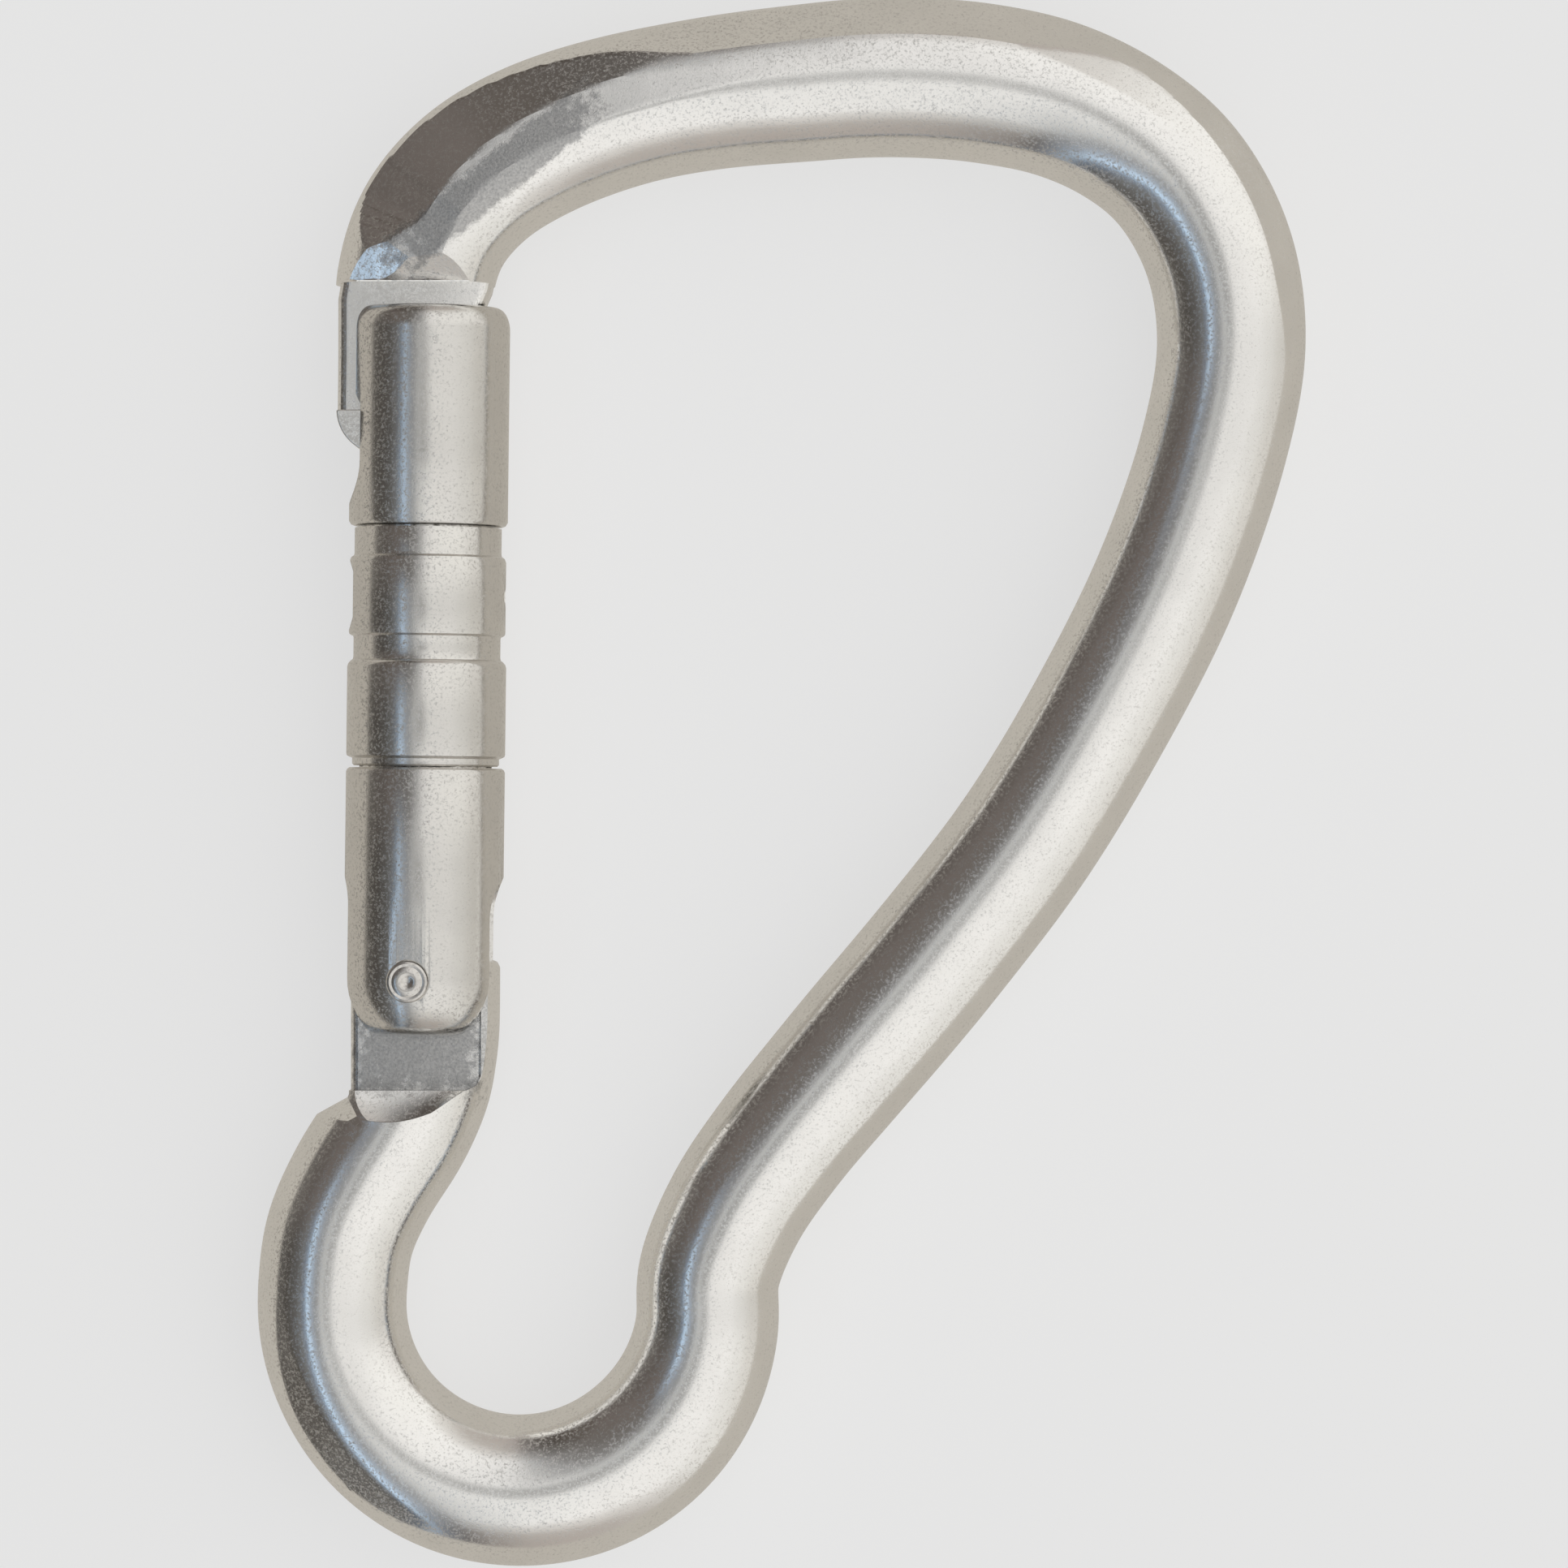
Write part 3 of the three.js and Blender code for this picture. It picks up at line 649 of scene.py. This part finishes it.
class Nodes:
    """A short way to write a node tree."""

    def __init__(self, tree):
        self.tree = tree

    def add(self, kind, **settings):
        node = self.tree.nodes.new("ShaderNode" + kind)
        for key, value in settings.items():
            setattr(node, key, value)
        return node

    def link(self, source, target):
        self.tree.links.new(source, target)

    def feed(self, value, target):
        """Gives a socket a number or a colour, or links another socket to it."""
        if isinstance(value, (int, float)):
            target.default_value = value
        elif isinstance(value, tuple):
            target.default_value = (*value, 1)
        else:
            self.link(value, target)

    def position(self, scale=(1, 1, 1)):
        """Object coordinates, scaled, as a socket."""
        coordinates = self.add("TexCoord")
        mapping = self.add("Mapping")
        mapping.inputs["Scale"].default_value = scale
        self.link(coordinates.outputs["Object"], mapping.inputs["Vector"])
        return mapping.outputs["Vector"]

    def noise(self, vector, scale, detail=4.0, rough=0.55):
        node = self.add("TexNoise")
        node.inputs["Scale"].default_value = scale
        node.inputs["Detail"].default_value = detail
        node.inputs["Roughness"].default_value = rough
        self.link(vector, node.inputs["Vector"])
        return node.outputs["Fac"]

    def remap(self, value, from_low, from_high, low=0, high=1, shape="LINEAR"):
        node = self.add("MapRange", interpolation_type=shape)
        node.inputs["From Min"].default_value = from_low
        node.inputs["From Max"].default_value = from_high
        node.inputs["To Min"].default_value = low
        node.inputs["To Max"].default_value = high
        self.link(value, node.inputs["Value"])
        return node.outputs["Result"]

    def math(self, operation, a, b=0.0):
        node = self.add("Math", operation=operation)
        self.feed(a, node.inputs[0])
        self.feed(b, node.inputs[1])
        return node.outputs["Value"]

    def mix(self, factor, a, b, blend="MIX"):
        node = self.add("Mix", data_type="RGBA", blend_type=blend)
        self.feed(factor, node.inputs["Factor"])
        first, second = [socket for socket in node.inputs if socket.type == "RGBA"]
        self.feed(a, first)
        self.feed(b, second)
        return next(socket for socket in node.outputs if socket.type == "RGBA")

    def ramp(self, value, stops, low=-1.0, top=1.0):
        """Colours by a value from low to 1, divided by top. Each stop is a value and a colour."""
        node = self.add("ValToRGB")
        node.color_ramp.interpolation = "EASE"
        elements = node.color_ramp.elements
        while len(elements) > 1:
            elements.remove(elements[-1])
        for i, (at, color) in enumerate(stops):
            where = (at - low) / (1 - low)
            element = elements[0] if i == 0 else elements.new(where)
            element.position = where
            element.color = (*[c / top for c in color], 1)
        share = self.math("DIVIDE", self.math("SUBTRACT", value, low), 1 - low)
        self.link(share, node.inputs["Fac"])
        return node.outputs["Color"]

    def zone(self, middle, reach, turn, ragged):
        """1 inside a box about a place, 0 outside it, with an edge that ragged moves in and out."""
        coordinates = self.add("TexCoord")
        mapping = self.add("Mapping", vector_type="TEXTURE")
        mapping.inputs["Location"].default_value = middle
        mapping.inputs["Rotation"].default_value = (0, 0, math.radians(turn))
        mapping.inputs["Scale"].default_value = reach
        self.link(coordinates.outputs["Object"], mapping.inputs["Vector"])
        split = self.add("SeparateXYZ")
        self.link(mapping.outputs["Vector"], split.inputs[0])
        sizes = [self.math("ABSOLUTE", out) for out in split.outputs]
        furthest = self.math("MAXIMUM", self.math("MAXIMUM", sizes[0], sizes[1]), sizes[2])
        return self.remap(self.math("ADD", furthest, ragged), 0.85, 1.1, 1, 0)

    def bump(self, height, strength, distance, normal=None):
        node = self.add("Bump")
        node.inputs["Strength"].default_value = strength
        node.inputs["Distance"].default_value = distance
        self.link(height, node.inputs["Height"])
        if normal is not None:
            self.link(normal, node.inputs["Normal"])
        return node.outputs["Normal"]


def new_material(name):
    """A new material, a helper for its nodes, and its shader."""
    material = bpy.data.materials.new(name)
    material.use_nodes = True
    return material, Nodes(material.node_tree), material.node_tree.nodes["Principled BSDF"]


def metal(name, light, dark, roughness, grain, per_mm=1.0, raw_zones=()):
    """Polished metal: a slight mottle of colour and gloss, an uneven tumbled surface, fine pits and
    thin scratches. per_mm is a millimetre in the piece's own units. The polish missed raw_zones."""
    material, n, shader = new_material(name)
    shader.inputs["Metallic"].default_value = 1.0
    place = n.position()
    mottle = n.noise(place, 0.22 * per_mm, 5)
    color = n.mix(n.remap(mottle, 0.35, 0.7), light, dark)
    pits = n.remap(n.noise(place, 4.0 * per_mm, 5, 0.8), 0.54, 0.68)
    pit_color = tuple(c * 0.62 for c in dark)
    color = n.mix(n.math("MULTIPLY", pits, 0.6), color, pit_color)
    cloud = n.noise(place, 0.6 * per_mm, 6)
    gloss = n.remap(cloud, 0.3, 0.7, *roughness)
    gloss = n.math("ADD", gloss, n.math("MULTIPLY", pits, 0.12))
    normal = n.bump(n.noise(place, 0.45 * per_mm, 2, 0.5), 0.6 * grain, 0.022 * MM)
    normal = n.bump(n.noise(place, 5.0 * per_mm, 4, 0.75), 0.7 * grain, 0.009 * MM, normal)
    normal = n.bump(n.math("SUBTRACT", 1.0, pits), 0.7 * grain, 0.012 * MM, normal)
    scratches = n.noise(n.position((0.5, 9.0, 4.0)), 1.3 * per_mm, 2, 0.6)
    normal = n.bump(n.remap(scratches, 0.66, 0.72, 1, 0), 0.4 * grain, 0.004 * MM, normal)
    if raw_zones:
        color, gloss, normal = leave_raw(n, place, per_mm, raw_zones, color, gloss, normal)
    n.link(color, shader.inputs["Base Color"])
    n.link(gloss, shader.inputs["Roughness"])
    n.link(normal, shader.inputs["Normal"])
    return material


def leave_raw(n, place, per_mm, zones, color, gloss, normal):
    """Makes a finish dull, grey and speckled inside zones with ragged edges."""
    ragged = n.remap(n.noise(place, 0.9 * per_mm, 7, 0.75), 0.3, 0.7, -0.28, 0.28)
    raw = 0.0
    for middle, reach, turn in zones:
        raw = n.math("MAXIMUM", raw, n.zone(middle, reach, turn, ragged))
    speckle = n.noise(place, 5.0 * per_mm, 2, 0.6)
    grey = n.mix(n.remap(speckle, 0.3, 0.7), (0.34, 0.34, 0.345), (0.54, 0.537, 0.53))
    color = n.mix(n.math("MULTIPLY", raw, 0.9), color, grey)
    gloss = n.math("ADD", gloss, n.math("MULTIPLY", raw, 0.26))
    return color, gloss, n.bump(n.math("MULTIPLY", speckle, raw), 0.8, 0.02 * MM, normal)


# Left as forged: the tang's pocket and, on both faces, a band behind the nose. Each zone has a
# middle, a reach along each axis, and a turn about Z in degrees.
RAW_ZONES = [
    ((-30.7, -20.2, 0), (5.2, 5.6, 4.0), 0),
    ((-23.9, 50.3, 0), (10.2, 1.8, 9.0), 39),
]

WIRE_LIGHT, WIRE_DARK, WIRE_ROUGHNESS = (0.42, 0.42, 0.41), (0.34, 0.34, 0.33), (0.25, 0.36)
BAR_LIGHT, BAR_DARK = (0.94, 0.93, 0.91), (0.89, 0.88, 0.86)

bar_metal = metal("bar_aluminium", BAR_LIGHT, BAR_DARK, (0.05, 0.12), 0.7, raw_zones=RAW_ZONES)
gate_metal = metal("gate_aluminium", (0.79, 0.775, 0.745), (0.74, 0.725, 0.70), (0.10, 0.18), 1.0)
pin_metal = metal("pin_steel", (0.72, 0.70, 0.67), (0.62, 0.60, 0.58), (0.12, 0.22), 0.7)
spring_metal = metal("wound_wire", WIRE_LIGHT, WIRE_DARK, WIRE_ROUGHNESS, 0.8)

# The CAD nodes that stay are in metres.
inner_steel = metal("inner_steel", (0.58, 0.57, 0.55), (0.48, 0.47, 0.46), (0.22, 0.34), 0.8, 1000.0)
spring_steel = metal("spring_wire", WIRE_LIGHT, WIRE_DARK, WIRE_ROUGHNESS, 0.8, 1000.0)


# ---- Pieces -------------------------------------------------------------------------------------


def squash_with_plunger(spring):
    """Gives the spring a mesh of its own; the spring is not shortened."""
    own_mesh(spring)


finish_piece(build_body(), DRAWING, bar_metal, "frame", "polished_bar", "body", sharp=14)

turned_pieces = [
    (build_barrel(), "gate", "gate_barrel"),
    (build_sleeve(), "gate", "nose_sleeve"),
    (build_collar(), "lock", "lock_collar"),
]
for piece, rides_on, node in turned_pieces:
    finish_piece(piece, GATE, gate_metal, rides_on, "turned_gate", node)

rivet_place = GATE @ Matrix.Translation((RIVET_U, 0, 0))
finish_piece(build_rivet(), rivet_place, pin_metal, "gate", "pin_steel", "hinge_rivet")

wound_spring = build_closing_spring()
finish_piece(wound_spring, GATE, spring_metal, "gate", "spring_steel", "closing_spring")
squash_with_plunger(wound_spring)

kept_nodes = {
    "collar_drive_pin": inner_steel,
    "lock_bolt": inner_steel,
    "bolt_thrust_washer": inner_steel,
    "closing_plunger": inner_steel,
    "lock_return_spring": spring_steel,
}
for name, material in kept_nodes.items():
    for material_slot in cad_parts[name].material_slots:
        material_slot.material = material


# ---- Floor, light and camera --------------------------------------------------------------------


def floor():
    """A plain pale floor with faint soft shadows, warmer and a little darker where it is reflected."""
    radius = 4.0
    bm = bmesh.new()
    rim = [bm.verts.new((x, y, 0)) for x, y in arc(0, 0, radius, 0, 355, 71)]
    bm.faces.new(rim)
    plane = new_object("floor", bm)
    material, n, shader = new_material("floor_paper")
    shader.inputs["Base Color"].default_value = (0.28, 0.28, 0.28, 1)
    shader.inputs["Roughness"].default_value = 0.9
    shader.inputs["Specular IOR Level"].default_value = 0.0
    shader.inputs["Emission Color"].default_value = (1, 1, 1, 1)
    shader.inputs["Emission Strength"].default_value = 0.62
    reflected = n.add("Emission")
    reflected.inputs["Color"].default_value = (0.50, 0.47, 0.42, 1)
    chooser = n.add("MixShader")
    n.link(n.add("LightPath").outputs["Is Glossy Ray"], chooser.inputs["Fac"])
    n.link(shader.outputs[0], chooser.inputs[1])
    n.link(reflected.outputs[0], chooser.inputs[2])
    n.link(chooser.outputs[0], n.tree.nodes["Material Output"].inputs["Surface"])
    plane.data.materials.append(material)


BACKGROUND = 0.79

# The studio's colours from its dark side, -X, to its bright side, +X, by the sine of the angle from
# straight up: first towards -Y, with a narrow bluish window between the two, then towards +Y.
SIDE_STOPS = [
    (-1.0, (0.105, 0.098, 0.090)),
    (-0.95, (0.078, 0.071, 0.064)),
    (-0.85, (0.098, 0.094, 0.089)),
    (-0.72, (0.155, 0.155, 0.153)),
    (-0.625, (0.19, 0.23, 0.29)),
    (-0.565, (0.62, 0.80, 1.0)),
    (-0.51, (0.36, 0.42, 0.50)),
    (-0.38, (0.28, 0.285, 0.29)),
    (-0.19, (0.58, 0.58, 0.57)),
    (0.0, (0.76, 0.755, 0.74)),
    (0.20, (0.80, 0.79, 0.77)),
    (0.60, (0.80, 0.79, 0.77)),
    (0.84, (0.72, 0.71, 0.68)),
    (1.0, (0.62, 0.60, 0.56)),
]
FAR_SIDE_STOPS = [
    (-1.0, (0.13, 0.12, 0.11)),
    (-0.90, (0.105, 0.092, 0.084)),
    (-0.75, (0.135, 0.117, 0.107)),
    (-0.61, (0.135, 0.120, 0.109)),
    (-0.465, (0.14, 0.13, 0.122)),
    (-0.31, (0.19, 0.185, 0.18)),
    (-0.16, (0.34, 0.34, 0.34)),
    (0.0, (0.72, 0.71, 0.70)),
    (0.20, (0.82, 0.81, 0.79)),
    (0.84, (0.84, 0.83, 0.80)),
    (1.0, (0.74, 0.72, 0.69)),
]

# What those colours are multiplied by, from straight up to the horizon towards +Y or -Y.
END_PEAK = 1.2
END_STOPS = [
    (0.0, (1.0, 1.0, 1.0)),
    (0.26, (1.14, 1.14, 1.14)),
    (0.70, (1.14, 1.14, 1.14)),
    (0.83, (0.84, 0.82, 0.80)),
    (0.92, (0.60, 0.56, 0.53)),
    (1.0, (0.56, 0.51, 0.48)),
]


def side_share(n, x, y, z):
    """How far a direction leans towards +X or -X, from 1 to -1: the sine of its angle from straight
    up, with its Y part counted less."""
    y_weight = 0.35
    squares = n.math("ADD", n.math("MULTIPLY", x, x), n.math("MULTIPLY", z, z))
    along = n.math("MULTIPLY", n.math("MULTIPLY", y, y), y_weight)
    return n.math("DIVIDE", x, n.math("SQRT", n.math("ADD", squares, along)))


def overhead_shade(n, x, y):
    """A small soft shade straight above the object, as a grey to multiply by."""
    off_x = n.math("ADD", x, 0.08)
    off = n.math("ADD", n.math("MULTIPLY", off_x, off_x), n.math("MULTIPLY", y, y))
    shaded = n.remap(off, 0.03, 0.004, shape="SMOOTHSTEP")
    clear = n.math("SUBTRACT", 1.0, n.math("MULTIPLY", shaded, 0.42))
    shade = n.add("CombineColor")
    for socket in shade.inputs:
        n.link(clear, socket)
    return shade.outputs["Color"]


def studio():
    """Soft light all round: colour by direction for what is reflected, one plain tone behind."""
    world = bpy.data.worlds.new("studio")
    bpy.context.scene.world = world
    world.use_nodes = True
    n = Nodes(world.node_tree)
    n.tree.nodes.clear()
    split = n.add("SeparateXYZ")
    n.link(n.add("TexCoord").outputs["Generated"], split.inputs[0])
    x, y, z = split.outputs
    side = side_share(n, x, y, z)
    far_share = n.remap(y, 0.03, 0.32, shape="SMOOTHSTEP")
    across = n.mix(far_share, n.ramp(side, SIDE_STOPS), n.ramp(side, FAR_SIDE_STOPS))
    along = n.ramp(n.math("ABSOLUTE", y), END_STOPS, low=0.0, top=END_PEAK)
    open_studio = n.mix(1.0, across, along, "MULTIPLY")
    result = n.mix(1.0, open_studio, overhead_shade(n, x, y), "MULTIPLY")
    lit = n.add("Background")
    n.link(result, lit.inputs["Color"])
    lit.inputs["Strength"].default_value = END_PEAK
    plain = n.add("Background")
    plain.inputs["Color"].default_value = (BACKGROUND, BACKGROUND, BACKGROUND, 1)
    chooser = n.add("MixShader")
    n.link(n.add("LightPath").outputs["Is Camera Ray"], chooser.inputs["Fac"])
    n.link(lit.outputs[0], chooser.inputs[1])
    n.link(plain.outputs[0], chooser.inputs[2])
    n.link(chooser.outputs[0], n.add("OutputWorld").inputs["Surface"])


def camera():
    """Straight above, with a long lens, as far up as makes the frame span VIEW_WIDTH."""
    data = bpy.data.cameras.new("camera")
    data.lens = 150
    data.sensor_width = 36
    cam = bpy.data.objects.new("camera", data)
    bpy.context.scene.collection.objects.link(cam)
    height = VIEW_WIDTH * MM * data.lens / data.sensor_width
    cam.location = (SHIFT.x, SHIFT.y, SHIFT.z + height)
    data.clip_start, data.clip_end = 0.01, 20
    bpy.context.scene.camera = cam


floor()
studio()
camera()
bpy.context.scene.view_settings.view_transform = "Standard"
